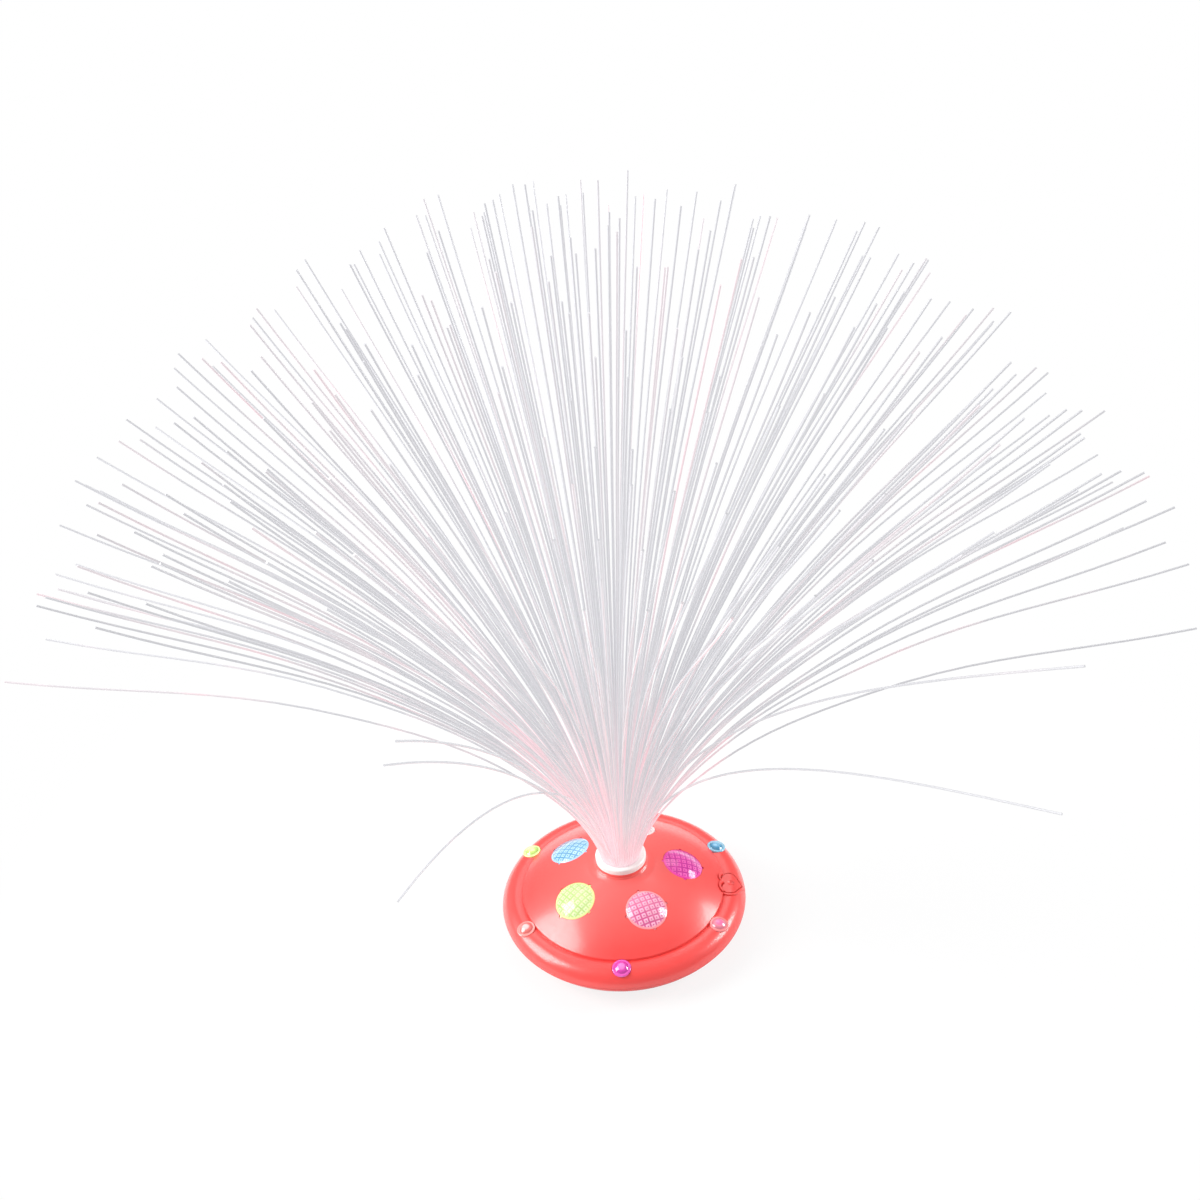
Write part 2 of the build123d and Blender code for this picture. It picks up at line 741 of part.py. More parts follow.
def make_switch_board():
    board = block(switch_board_length, switch_board_width, switch_board_bottom, switch_board_top)
    return button_place() * Pos(-switch_board_setback, 0, 0) * board


def make_switch_body():
    case = block(switch_length, switch_width, switch_board_top, switch_top, x=-switch_setback)
    case -= post(plunger_radius + slip_gap, switch_board_top + switch_floor, switch_top, x=-switch_setback)
    return button_place() * case


def make_plunger():
    bottom = switch_board_top + switch_floor + button_travel
    return button_place() * post(plunger_radius, bottom, button_bottom, x=-switch_setback)


def make_switch_lead():
    """The flat two-core lead from the switch's board to the underside of the main board."""
    start = button_position - lead_setback
    end = board_radius - lead_inset
    path = FilletPolyline(
        (start, 0, switch_board_top),
        (start, 0, switch_board_top + lead_rise),
        (end, 0, board_bottom - lead_drop),
        (end, 0, board_bottom),
        radius=lead_bend,
    )
    section = Plane.XZ * trace(Plane.XZ.to_local_coords(path), lead_thickness)
    return Rot(0, 0, button_azimuth) * extrude(section, lead_width / 2, both=True)


# ---- cells, contacts and door ----
def make_cell(index):
    """An AAA cell; the outer two point to the rear, the middle one to the front."""
    body = cell_length - cell_nub_length
    tip = bay_length / 2 - contact_thickness - slip_gap
    cell = turned_points(
        rz(0, 0),
        rz(cell_radius - cell_edge, 0),
        rz(cell_radius, cell_edge),
        rz(cell_radius, body - cell_edge),
        rz(cell_radius - cell_edge, body),
        rz(cell_nub_radius, body),
        rz(cell_nub_radius, cell_length),
        rz(0, cell_length),
    )
    way = 1 if index != 1 else -1
    foot = Pos((index - 1) * cell_pitch, way * (tip - cell_length), cell_axis_height)
    return foot * Rot(-90 * way, 0, 0) * cell


def contact(first, last, side, leaf=None, tab=None):
    """A sheet contact on an end wall, with a sprung leaf for a cell's flat end and a solder tab."""
    low, high = floor_top + contact_clearance, roof_bottom - contact_headroom
    middle = (first + last) / 2
    wall_y = bay_length / 2
    sheet_y = wall_y - contact_thickness / 2
    plate = block(last - first + contact_width, contact_thickness, low, high, x=middle, y=sheet_y)
    if leaf is not None:
        half = contact_thickness / 2
        corners = [
            (half, low + leaf_foot),
            (leaf_reach - half, cell_axis_height - leaf_dip),
            (half + leaf_tail, high - leaf_tail_drop),
        ]
        bow = Rot(0, 0, -90) * extrude(strip(corners, contact_thickness), leaf_width / 2, both=True)
        plate += Pos(leaf, wall_y, 0) * bow
    if tab is not None:
        tab_end = board_top + solder_height
        plate += block(contact_tab_width, contact_thickness, high - root, tab_end, x=tab, y=sheet_y)
    return plate if side > 0 else mirror(plate, Plane.XZ)


def make_door():
    """The battery door: a round front edge with hinge pins, snap fingers at the rear, a grip outside."""
    rear = -door_front
    door = block(bay_width, rear - hinge_y, door_bottom, door_top, y=(rear + hinge_y) / 2)
    door += cross_bar(door_thickness / 2, bay_width)
    door += cross_bar(hinge_pin_radius, bay_width + 2 * (fit_gap + hinge_pin_reach))
    for side in (1, -1):
        finger = block(finger_width, finger_thickness, door_top - root, door_top + finger_height)
        door += Pos(side * cell_pitch / 2, bay_length / 2 - finger_inset, 0) * finger
    for rib in range(grip_ribs):
        place = rear - grip_inset - grip_pitch * rib
        door += block(grip_width, grip_rib, door_bottom - grip_proud, door_bottom + root, y=place)
    return door


# ---- electronics and screws ----
def make_board():
    board = post(board_radius, board_bottom, board_top)
    for x, y in (polar(board_screw_position, a) for a in board_screw_azimuths):
        board -= post(board_screw_radius + 2 * slip_gap, board_bottom, board_top, x, y)
    for side in (1, -1):
        board -= contact_slot(side, board_bottom, board_top)
    return board


def make_main_led():
    tip = plug_bottom - lamp_gap
    shoulder = tip - main_led_radius
    corner = main_led_radius * math.sqrt(0.5)
    return turned(
        Polyline(
            rz(0, board_top),
            rz(main_led_radius + led_flange, board_top),
            rz(main_led_radius + led_flange, board_top + led_flange_height),
            rz(main_led_radius, board_top + led_flange_height),
            rz(main_led_radius, shoulder),
        ),
        ThreePointArc(rz(main_led_radius, shoulder), rz(corner, shoulder + corner), rz(0, tip)),
        Line(rz(0, tip), rz(0, board_top)),
    )


def make_window_leds():
    """The 3 mm lamps under the windows, flat-topped."""
    lamps = []
    for index in range(window_count):
        x, y = polar(window_led_position, window_azimuth + index * 360 / window_count)
        flange = post(window_led_radius + led_flange, board_top, board_top + led_flange_height, x, y)
        lamps.append(flange + post(window_led_radius, board_top, board_top + window_led_length, x, y))
    return Compound(lamps)


def make_chip():
    drop = turned_points(
        rz(0, board_top),
        rz(chip_radius, board_top),
        rz(chip_radius - chip_slope, board_top + chip_shoulder),
        rz(0, board_top + chip_height),
    )
    return Pos(chip_x, chip_inset - board_radius, 0) * drop


def screws(places, shank, head, seat, way):
    """Screws with a cross recess from (radius, length) pairs; way is 1 when they point up."""
    screw = post(head[0], -head[1], 0) + post(shank[0], 0, shank[1])
    for turn in (0, 90):
        screw -= Rot(0, 0, turn) * block(drive_span * head[0], drive_width, -head[1], drive_depth - head[1])
    if way < 0:
        screw = Rot(180, 0, 0) * screw
    return Compound([Pos(x, y, seat) * screw for x, y in places])


def make_case_screws():
    places = [polar(case_screw_position, a) for a in case_screw_azimuths]
    shank, head = (case_screw_radius, case_screw_length), (case_screw_head_radius, case_screw_head)
    return screws(places, shank, head, case_screw_seat, 1)


def make_board_screws():
    places = [polar(board_screw_position, a) for a in board_screw_azimuths]
    shank, head = (board_screw_radius, board_screw_length), (board_screw_head_radius, board_screw_head)
    return screws(places, shank, head, board_top, -1)


def make_nodes():
    nodes = {
        "upper_shell": make_upper_shell(),
        "lower_shell": make_lower_shell(),
        "collar": make_collar(),
        "fibre_plug": make_plug(),
        "heart_button": make_button(),
        "switch_plunger": make_plunger(),
        "switch_body": make_switch_body(),
        "switch_board": make_switch_board(),
        "switch_lead": make_switch_lead(),
        "battery_door": make_door(),
        "contact_positive": contact(-cell_pitch, -cell_pitch, 1, tab=-contact_tab_x),
        "contact_negative": contact(cell_pitch, cell_pitch, -1, leaf=cell_pitch, tab=contact_tab_x),
        "contact_bridge_rear": contact(0, cell_pitch, 1, leaf=0),
        "contact_bridge_front": contact(-cell_pitch, 0, -1, leaf=-cell_pitch),
        "circuit_board": make_board(),
        "main_led": make_main_led(),
        "window_leds": make_window_leds(),
        "control_chip": make_chip(),
        "case_screws": make_case_screws(),
        "board_screws": make_board_screws(),
    }
    window, bead = make_window(), make_bead()
    for index, name in enumerate(window_names):
        nodes["window_" + name] = window_plane(index) * window
    for index, name in enumerate(bead_names):
        nodes["small_lens_" + name] = bead_plane(index) * bead
    for index, name in enumerate(("left", "middle", "right")):
        nodes["battery_" + name] = make_cell(index)
    for name, rings in fibre_tiers.items():
        nodes[name] = make_fibres(rings)
    return nodes


os.makedirs("parts", exist_ok=True)
for name, shape in make_nodes().items():
    export_step(shape, "parts/" + name + ".step")
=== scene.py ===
"""Looks of the fibre optic lamp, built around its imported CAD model. Metres, the CAD's own frame."""
import json
import math

import bmesh
import bpy
import numpy as np
from mathutils import Matrix, Vector


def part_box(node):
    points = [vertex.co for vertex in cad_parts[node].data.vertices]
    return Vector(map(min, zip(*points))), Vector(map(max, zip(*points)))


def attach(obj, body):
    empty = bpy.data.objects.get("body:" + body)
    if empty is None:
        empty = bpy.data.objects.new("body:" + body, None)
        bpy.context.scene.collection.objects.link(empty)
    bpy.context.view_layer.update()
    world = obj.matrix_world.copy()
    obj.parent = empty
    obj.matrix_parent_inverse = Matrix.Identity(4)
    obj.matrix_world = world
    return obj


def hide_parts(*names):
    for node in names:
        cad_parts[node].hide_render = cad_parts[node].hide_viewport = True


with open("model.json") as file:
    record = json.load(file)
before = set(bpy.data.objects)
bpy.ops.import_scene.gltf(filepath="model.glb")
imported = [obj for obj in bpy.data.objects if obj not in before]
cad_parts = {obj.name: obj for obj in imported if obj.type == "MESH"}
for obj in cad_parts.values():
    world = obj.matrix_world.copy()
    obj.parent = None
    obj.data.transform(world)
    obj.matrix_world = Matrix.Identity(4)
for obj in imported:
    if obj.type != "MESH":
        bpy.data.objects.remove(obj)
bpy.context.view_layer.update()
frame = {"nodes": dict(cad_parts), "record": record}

MM = 0.001

# ---- taken from the frame ----
collar_bottom, collar_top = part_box("collar")[0].z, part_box("collar")[1].z
shell_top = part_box("upper_shell")[1].z
slots = {part["node"]: part["material_slot"] for part in frame["record"]["subparts"]}
normal_digits = 3                    # faces whose normals agree to this many belong to one flat
place_digits = 6                     # corners whose places agree to this many, in metres, are one

# ---- what the finishes share; a noise's scale is per metre ----
noise_middle = 0.5
noise_low, noise_high = 0.3, 0.7     # most of a noise's values lie between these
broad_scale = 45.0
broad_detail = 3.0
grain_scale = 900.0
grain_depth = 0.1 * MM
plastic_roughness = (0.8, 1.25)      # roughness varies between these shares of itself
edge_samples = 4
smooth_angle = 35.0                  # degrees: a sharper edge stays an edge

# ---- drawn metal ----
drawing_scale = 400.0
drawing_detail = 3.0
drawing_stretch = (1.0, 1.0, 8.0)    # the marks are this much finer along Z
drawing_shade = 0.85
drawing_strength = 0.15
drawing_depth = 0.05 * MM
metal_roughness = (0.8, 1.3)         # roughness varies between these shares of itself

# ---- housing ----
shell_colour = (0.91, 0.060, 0.054)
shell_painted_sheen = (0.94, 0.112, 0.10)     # painted light: a paler sheen near the collar, painted as if the lamps inside shone through
# the painted sheen grows in between these heights, and wavers this much
painted_sheen_heights = (shell_top - 12 * MM, shell_top - 3 * MM)
painted_sheen_waver = 0.06
shell_roughness = (0.32, 0.50)
shell_grain = 0.006
shell_edge_round = 0.15 * MM
shell_coat = 0.8
shell_coat_roughness = 0.19
scuff_turn = (0.0, 0.5, 0.7)         # radians: turns the noise, and so picks another set of scuffs
scuff_stretch = (1.0, 6.0, 6.0)      # scuffs run along X, and are this much narrower across it
scuff_scale = 40.0
scuff_detail = 1.0
scuff_width = 0.012                  # a scuff is where the noise is this near its middle
scuff_patches = (0.5, 0.6)           # scuffs fade in between these values of the broad noise
scuff_depth = 0.012 * MM

# ---- dry cells ----
cell_steel = (0.62, 0.62, 0.60)
cell_sleeve = (0.10, 0.16, 0.24)
cell_band = (0.72, 0.73, 0.70)
# shares of the cell's length from its positive end
sleeve_start, band_start, band_end, sleeve_end = 0.045, 0.10, 0.20, 0.985
cell_end_slack = 0.05 * MM
cell_roughness = 0.3
cell_grain = 0.02
cell_coat = 0.3

# ---- fibres ----
fibre_radius = 0.375 * MM
fibre_roundness = 3          # Blender's bevel resolution
fibre_smoothness = 10        # steps between two points of a fibre's line
fibre_corners = 4            # the frame's fibres are square in section
painted_pink_height = 85 * MM        # the painted pink light fades out over this length above the collar
fibre_painted_glow = 0.5             # share of a fibre's brightness that is a painted glow: emission in place of light from inside, which also lightens the shade between fibres
fibre_roughness = (0.2, 0.3)
# colours from the collar (0) to where the painted pink light has faded (1); the pale grey is the fibres'
# own
fibre_grey_and_painted_pink = (
    (0.0, (1.0, 0.80, 0.85)),
    (0.2, (1.0, 0.72, 0.77)),
    (0.4, (0.90, 0.72, 0.76)),
    (0.62, (0.82, 0.75, 0.78)),
    (0.95, (0.68, 0.68, 0.71)),
)
# noise over the fibres' directions, which makes the painted pink fade unevenly: its values, and what
# they add to the share of the fading
streak_scale = 26.0
streak_range, streak_waver = (0.35, 0.65), (-0.2, 0.2)
tuft_scale = 7.0
tuft_detail = 1.0
tuft_range, tuft_waver = (0.35, 0.6), (-0.4, 0.3)
waver_at_collar = 0.3        # share of the waver that shows at the collar
waver_rise = 0.3             # share of the fading from which the whole waver shows

# ---- stray fibres, which only the scene has ----
# heading, lean at the collar and at the tip in degrees, how early it leans, and length
stray_fibres = (
    (243, 14, 89, 1.0, 182 * MM),
    (244, 25, 54, 1.1, 206 * MM),
    (246, 25, 52, 1.0, 213 * MM),
    (-46, 12, 72, 2.3, 217 * MM),
    (-44, 12, 60, 2.1, 244 * MM),
)
stray_root = 6.3 * MM        # distance from the axis at the collar's top
stray_steps = 14

# ---- lenses, in each one's own plane: Z outwards, X down the slope ----
lathe_steps = 96
crown_steps = 24
window_radius = 7.5 * MM
window_crown = 0.9 * MM      # the crown's top above the dome
window_edge = -0.45 * MM     # height of the crown's edge
window_edge_round = 0.12 * MM
window_edge_lean = 60.0      # degrees at which the rounding takes over from the crown
window_edge_steps = 4
flange_radius = 8.3 * MM
flange_top = -1.8 * MM
flange_base = -2.6 * MM
prism_base = -3.7 * MM
prism_pitch = 2.06 * MM
prism_tip = 0.96 * MM        # width of a pyramid's flat end
prism_reach = 7.2 * MM
tab_start, tab_end = 7.3 * MM, 8.0 * MM
tab_width = 1.0 * MM
tab_top, tab_base = -0.7 * MM, -1.5 * MM
tab_round = 0.12 * MM
tab_round_steps = 2

# across a pyramid, in pitches from its middle: its flat end, its side from and to, and its groove
waffle_shades = (0.08, 0.16, 0.31, 0.40)
waffle_reach = 6.9 * MM      # the pyramids show through up to this radius
waffle_fade = 0.25 * MM
waffle_relief = 0.35
haze_scale = 160.0
haze_clarity = (0.7, 1.0)    # share of the waffle's contrast that the haze leaves
top_painted_haze_clarity = (0.7, 1.0)   # and that is left at the window's upper and lower edge: a painted reflection washes out the upper edge
window_roughness = (0.3, 0.4)
window_specular = 0.1
window_coat_roughness = 0.12
crown_bulge = 17.0           # the gloss bulges beyond the crown by this times the radius squared

bead_radius = 3.4 * MM
bead_crown = 1.5 * MM
bead_dome_radius = 2.6 * MM
bead_rim_top = 0.4 * MM
bead_rim_round = 0.3 * MM
bead_rim_steps = 6
bead_seat = -0.4 * MM
bead_stem_radius = 2.5 * MM
bead_bore_radius = 1.5 * MM
bead_stem_end = -2.8 * MM
bead_roof = 0.2 * MM
bead_smooth_angle = 25.0     # degrees

# shares of the radius at which a small lens has its core's (a painted highlight over the light well's
# end), body's, dark ring's (painted shade) and rim's colour
bead_shades = (0.30, 0.46, 0.70, 0.80)
bead_painted_shade = 0.75             # the dark ring, painted shade, is this share of the body's colour
bead_waver = 0.04
bead_cloud_scale = 500.0
bead_roughness = (0.05, 0.10)
bead_grain = 0.03
bead_coat_roughness = 0.05

# ---- stage ----
# each area light's place, the height on the lamp's axis that it looks at, its sides, and its watts
area_lights = {
    "left": ((-0.70, 0.0, 0.58), 0.02, (0.56, 0.60), 10.5),
    "right": ((0.79, 0.11, 0.42), 0.02, (0.36, 0.32), 5.0),
    "overhead": ((0.0, 0.75, 1.1), 0.05, (0.9, 0.7), 3.5),
}
white = 1.0                  # strength at which light shows as white
world_light = 0.38           # strength of the world's light on the lamp
floor_half = 6.0
floor_grey = 0.85
floor_roughness = 0.9
floor_specular = 0.1
floor_whiteness = 0.84       # share of plain white that the camera sees in the floor near the lamp
fade_start, fade_end = 0.06, 0.25    # it grows to all of it between these distances from the axis

# ---- camera of the photograph ----
photo_size = 1200            # pixels, square
focal_pixels = 1998.0
camera_place = Vector((0.0, -507.5, 514.3)) * MM
camera_pitch = 35.93         # degrees below the horizon
camera_heading = -0.91       # degrees towards +X
camera_roll = -4.81
frame_scale = 0.955          # share of the photograph's focal length: a wider view holds every fibre
frame_shift = 23             # and looks this many pixels further right
sensor_width = 36.0          # millimetres
near_clip = 10 * MM


# ---- node materials ----
def material(name):
    """A new node material, its tree and its Principled shader."""
    made = bpy.data.materials.new(name)
    made.use_nodes = True
    tree = made.node_tree
    return made, tree, tree.nodes["Principled BSDF"]


def node(tree, kind, **inputs):
    """Adds a node. Each keyword sets a property or an input, by its name or as i0, i1 by its number."""
    new = tree.nodes.new(kind)
    for key, value in inputs.items():
        if hasattr(new, key):
            setattr(new, key, value)
            continue
        socket = new.inputs[int(key[1:])] if key[0] == "i" and key[1:].isdigit() else new.inputs[key]
        if isinstance(value, bpy.types.NodeSocket):
            tree.links.new(value, socket)
        else:
            socket.default_value = value
    return new


def maths(tree, operation, first, second=0.0):
    """One step of arithmetic on values or outputs."""
    return node(tree, "ShaderNodeMath", operation=operation, i0=first, i1=second).outputs[0]


def spread(tree, value, low, high, start=0.0, end=1.0):
    """Maps a value from low..high to start..end, kept within them."""
    made = node(tree, "ShaderNodeMapRange", Value=value)
    for socket, size in (("From Min", low), ("From Max", high), ("To Min", start), ("To Max", end)):
        made.inputs[socket].default_value = size
    return made.outputs["Result"]


def noise(tree, place, scale, detail=2.0):
    """A noise texture's value, from 0 to 1."""
    return node(tree, "ShaderNodeTexNoise", Vector=place, Scale=scale, Detail=detail).outputs["Fac"]


def by_noise(tree, value, start, end):
    """Maps the range of most of a noise's values to start..end."""
    return spread(tree, value, noise_low, noise_high, start, end)


def blend(tree, share, first, second):
    """Mixes two colours, each a tuple or an output, by a share."""
    mix = tree.nodes.new("ShaderNodeMix")
    mix.data_type = "RGBA"
    tree.links.new(share, mix.inputs["Factor"])
    for socket, colour in ((mix.inputs[6], first), (mix.inputs[7], second)):
        if isinstance(colour, tuple):
            socket.default_value = (*colour, 1.0)
        else:
            tree.links.new(colour, socket)
    return mix.outputs[2]


def ramp(tree, factor, *stops):
    """A colour ramp over (position, colour) stops."""
    made = node(tree, "ShaderNodeValToRGB", Fac=factor)
    elements = made.color_ramp.elements
    for index, (position, colour) in enumerate(stops):
        element = elements[index] if index < 2 else elements.new(position)
        element.position = position
        element.color = (*colour, 1.0)
    return made.outputs["Color"]


def object_place(tree):
    """Where a point is in its own object."""
    return node(tree, "ShaderNodeTexCoord").outputs["Object"]


def axis_distance(tree, parts):
    """A point's distance from a lens's axis, from the parts of its place."""
    flat = node(tree, "ShaderNodeCombineXYZ", X=parts["X"], Y=parts["Y"]).outputs[0]
    return node(tree, "ShaderNodeVectorMath", operation="LENGTH", Vector=flat).outputs["Value"]


def rounded_edges(tree, radius):
    """Normals that catch the light at an edge as a rounded one does."""
    return node(tree, "ShaderNodeBevel", samples=edge_samples, Radius=radius).outputs["Normal"]


def lacquer(shader, weight, roughness=0.03):
    """A clear gloss over the surface; the roughness is Blender's own unless given."""
    shader.inputs["Coat Weight"].default_value = weight
    shader.inputs["Coat Roughness"].default_value = roughness


def rough_surface(tree, shader, place, roughness, grain, edge_round=0.0):
    """Uneven roughness, fine bumps and, where asked, edges that look rounded."""
    fine = noise(tree, place, grain_scale)
    low, high = [roughness * share for share in plastic_roughness]
    tree.links.new(by_noise(tree, fine, low, high), shader.inputs["Roughness"])
    bump = node(tree, "ShaderNodeBump", Height=fine, Strength=grain, Distance=grain_depth)
    if edge_round:
        rounded = rounded_edges(tree, edge_round)
        tree.links.new(rounded, bump.inputs["Normal"])
        tree.links.new(rounded, shader.inputs["Coat Normal"])
    tree.links.new(bump.outputs["Normal"], shader.inputs["Normal"])


def plastic(
        name, colour, roughness=0.16, coat=0.6, coat_roughness=0.05,
        mottle=0.06, grain=0.02, edge_round=0.0):
    """Moulded plastic: slight colour variation, fine grain and a clear gloss."""
    made, tree, shader = material(name)
    place = object_place(tree)
    broad = noise(tree, place, broad_scale, broad_detail)
    deep = tuple(c * (1 - mottle) for c in colour)
    light = tuple(min(1.0, c * (1 + mottle)) for c in colour)
    tint = ramp(tree, broad, (noise_low, deep), (noise_high, light))
    tree.links.new(tint, shader.inputs["Base Color"])
    rough_surface(tree, shader, place, roughness, grain, edge_round)
    lacquer(shader, coat, coat_roughness)
    return made


def painted_sheen_shell(name):
    """The housing's coral plastic, scuffed, with a painted sheen: paler near the collar, painted as if
    its lamps shone through.
    """
    made, tree, shader = material(name)
    place = object_place(tree)
    height = node(tree, "ShaderNodeSeparateXYZ", Vector=place).outputs["Z"]
    broad = noise(tree, place, broad_scale, broad_detail)
    # painted light: the colour pales towards the collar, a painted sheen
    glow = spread(tree, height, *painted_sheen_heights)
    uneven = maths(tree, "ADD", glow, by_noise(tree, broad, -painted_sheen_waver, painted_sheen_waver))
    tint = ramp(tree, uneven, (0.0, shell_colour), (1.0, shell_painted_sheen))
    tree.links.new(tint, shader.inputs["Base Color"])
    fine = noise(tree, place, grain_scale)
    drawn = node(tree, "ShaderNodeMapping", Vector=place, Rotation=scuff_turn, Scale=scuff_stretch)
    threads = noise(tree, drawn.outputs[0], scuff_scale, scuff_detail)
    off_thread = maths(tree, "ABSOLUTE", maths(tree, "SUBTRACT", threads, noise_middle))
    hairlines = spread(tree, off_thread, 0.0, scuff_width, 1.0, 0.0)
    scuffs = maths(tree, "MULTIPLY", hairlines, spread(tree, broad, *scuff_patches))
    tree.links.new(by_noise(tree, fine, *shell_roughness), shader.inputs["Roughness"])
    rounded = rounded_edges(tree, shell_edge_round)
    worn = node(
        tree, "ShaderNodeBump",
        Height=scuffs, Strength=1.0, Distance=scuff_depth, Normal=rounded,
    ).outputs["Normal"]
    grain = node(
        tree, "ShaderNodeBump",
        Height=fine, Strength=shell_grain, Distance=grain_depth, Normal=worn,
    ).outputs["Normal"]
    tree.links.new(grain, shader.inputs["Normal"])
    tree.links.new(worn, shader.inputs["Coat Normal"])
    lacquer(shader, shell_coat, shell_coat_roughness)
    return made


def positive_end(name):
    """Where along Y a cell's narrow end is, and so its positive one."""
    corners = [vertex.co for vertex in frame["nodes"][name].data.vertices]
    widths = {}
    for end in (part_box(name)[0].y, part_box(name)[1].y):
        near = [corner.x for corner in corners if abs(corner.y - end) < cell_end_slack]
        widths[end] = max(near) - min(near)
    return min(widths, key=widths.get)


def cell_finish(name):
    """A dry cell: steel ends, and a slate sleeve with a pale band near the positive one."""
    made, tree, shader = material(name + "_sleeve")
    low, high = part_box(name)
    place = object_place(tree)
    lengthwise = node(tree, "ShaderNodeSeparateXYZ", Vector=place).outputs["Y"]
    along = maths(tree, "ABSOLUTE", maths(tree, "SUBTRACT", lengthwise, positive_end(name)))
    share = maths(tree, "DIVIDE", along, high.y - low.y)
    tint = ramp(
        tree, share,
        (0.0, cell_steel), (sleeve_start, cell_sleeve), (band_start, cell_band),
        (band_end, cell_sleeve), (sleeve_end, cell_steel),
    )
    bare = ramp(tree, share, (0.0, (1, 1, 1)), (sleeve_start, (0, 0, 0)), (sleeve_end, (1, 1, 1)))
    for stepped in (tint, bare):
        stepped.node.color_ramp.interpolation = "CONSTANT"
    tree.links.new(tint, shader.inputs["Base Color"])
    tree.links.new(bare, shader.inputs["Metallic"])
    rough_surface(tree, shader, place, cell_roughness, cell_grain)
    lacquer(shader, cell_coat)
    return made


def metal(name, colour, roughness):
    """Plated sheet or wire with fine drawing marks square to Z."""
    made, tree, shader = material(name)
    place = object_place(tree)
    along = node(tree, "ShaderNodeMapping", Vector=place, Scale=drawing_stretch).outputs[0]
    marks = noise(tree, along, drawing_scale, drawing_detail)
    dark = tuple(c * drawing_shade for c in colour)
    tint = ramp(tree, marks, (noise_low, dark), (noise_high, colour))
    tree.links.new(tint, shader.inputs["Base Color"])
    low, high = [roughness * share for share in metal_roughness]
    tree.links.new(by_noise(tree, marks, low, high), shader.inputs["Roughness"])
    bump = node(tree, "ShaderNodeBump", Height=marks, Strength=drawing_strength, Distance=drawing_depth)
    tree.links.new(bump.outputs["Normal"], shader.inputs["Normal"])
    shader.inputs["Metallic"].default_value = 1.0
    return made


def window_finish(name, pale, deep, ring, contrast):
    """A lens with a glossy crown, through which the waffle of its pyramids shows."""
    made, tree, shader = material(name)
    place = object_place(tree)
    parts = node(tree, "ShaderNodeSeparateXYZ", Vector=place).outputs
    offsets = []
    for axis in ("X", "Y"):
        turns = maths(tree, "DIVIDE", parts[axis], prism_pitch)
        offset = maths(tree, "SUBTRACT", turns, maths(tree, "ROUND", turns))
        offsets.append(maths(tree, "ABSOLUTE", offset))
    step = maths(tree, "MAXIMUM", *offsets)
    waffle = ramp(tree, step, *zip(waffle_shades, (deep, pale, pale, deep)))
    radius = axis_distance(tree, parts)
    inside = spread(tree, radius, waffle_reach - waffle_fade, waffle_reach, 1.0, 0.0)
    haze = noise(tree, place, haze_scale)
    clarity = maths(tree, "MULTIPLY", by_noise(tree, haze, *haze_clarity), contrast)
    # painted reflection: the waffle fades towards the middle colour near the window's upper edge
    slope = spread(tree, parts["X"], -window_radius, window_radius, *top_painted_haze_clarity)
    shown = maths(tree, "MULTIPLY", clarity, slope)
    middle = tuple((a + b) / 2 for a, b in zip(pale, ring))
    hazed = blend(tree, shown, middle, waffle)
    tree.links.new(blend(tree, inside, ring, hazed), shader.inputs["Base Color"])
    height = maths(tree, "MULTIPLY", maths(tree, "MULTIPLY", step, inside), -prism_pitch)
    bump = node(tree, "ShaderNodeBump", Height=height, Strength=waffle_relief, Distance=1.0)
    tree.links.new(bump.outputs["Normal"], shader.inputs["Normal"])
    tree.links.new(by_noise(tree, haze, *window_roughness), shader.inputs["Roughness"])
    shader.inputs["Specular IOR Level"].default_value = window_specular
    bulge = maths(tree, "MULTIPLY", maths(tree, "MULTIPLY", radius, radius), -crown_bulge)
    crown = node(tree, "ShaderNodeBump", Height=bulge, Strength=1.0, Distance=1.0).outputs["Normal"]
    tree.links.new(crown, shader.inputs["Coat Normal"])
    lacquer(shader, 1.0, window_coat_roughness)
    return made


def bead_finish(name, painted_highlight_core, body, rim):
    """A small lens: its light well's end shows as a disc of another shade, lightened by a painted
    highlight, with a ring of painted shade round it, and its rim as a ring.
    """
    made, tree, shader = material(name)
    place = object_place(tree)
    parts = node(tree, "ShaderNodeSeparateXYZ", Vector=place).outputs
    share = maths(tree, "DIVIDE", axis_distance(tree, parts), bead_radius)
    cloud = noise(tree, place, bead_cloud_scale)
    uneven = maths(tree, "ADD", share, by_noise(tree, cloud, -bead_waver, bead_waver))
    # painted shade: the dark ring between the core and the rim
    dark = tuple(c * bead_painted_shade for c in body)
    tint = ramp(tree, uneven, *zip(bead_shades, (painted_highlight_core, body, dark, rim)))
    tree.links.new(tint, shader.inputs["Base Color"])
    tree.links.new(by_noise(tree, cloud, *bead_roughness), shader.inputs["Roughness"])
    bump = node(tree, "ShaderNodeBump", Height=cloud, Strength=bead_grain, Distance=grain_depth)
    tree.links.new(bump.outputs["Normal"], shader.inputs["Normal"])
    lacquer(shader, 1.0, bead_coat_roughness)
    return made


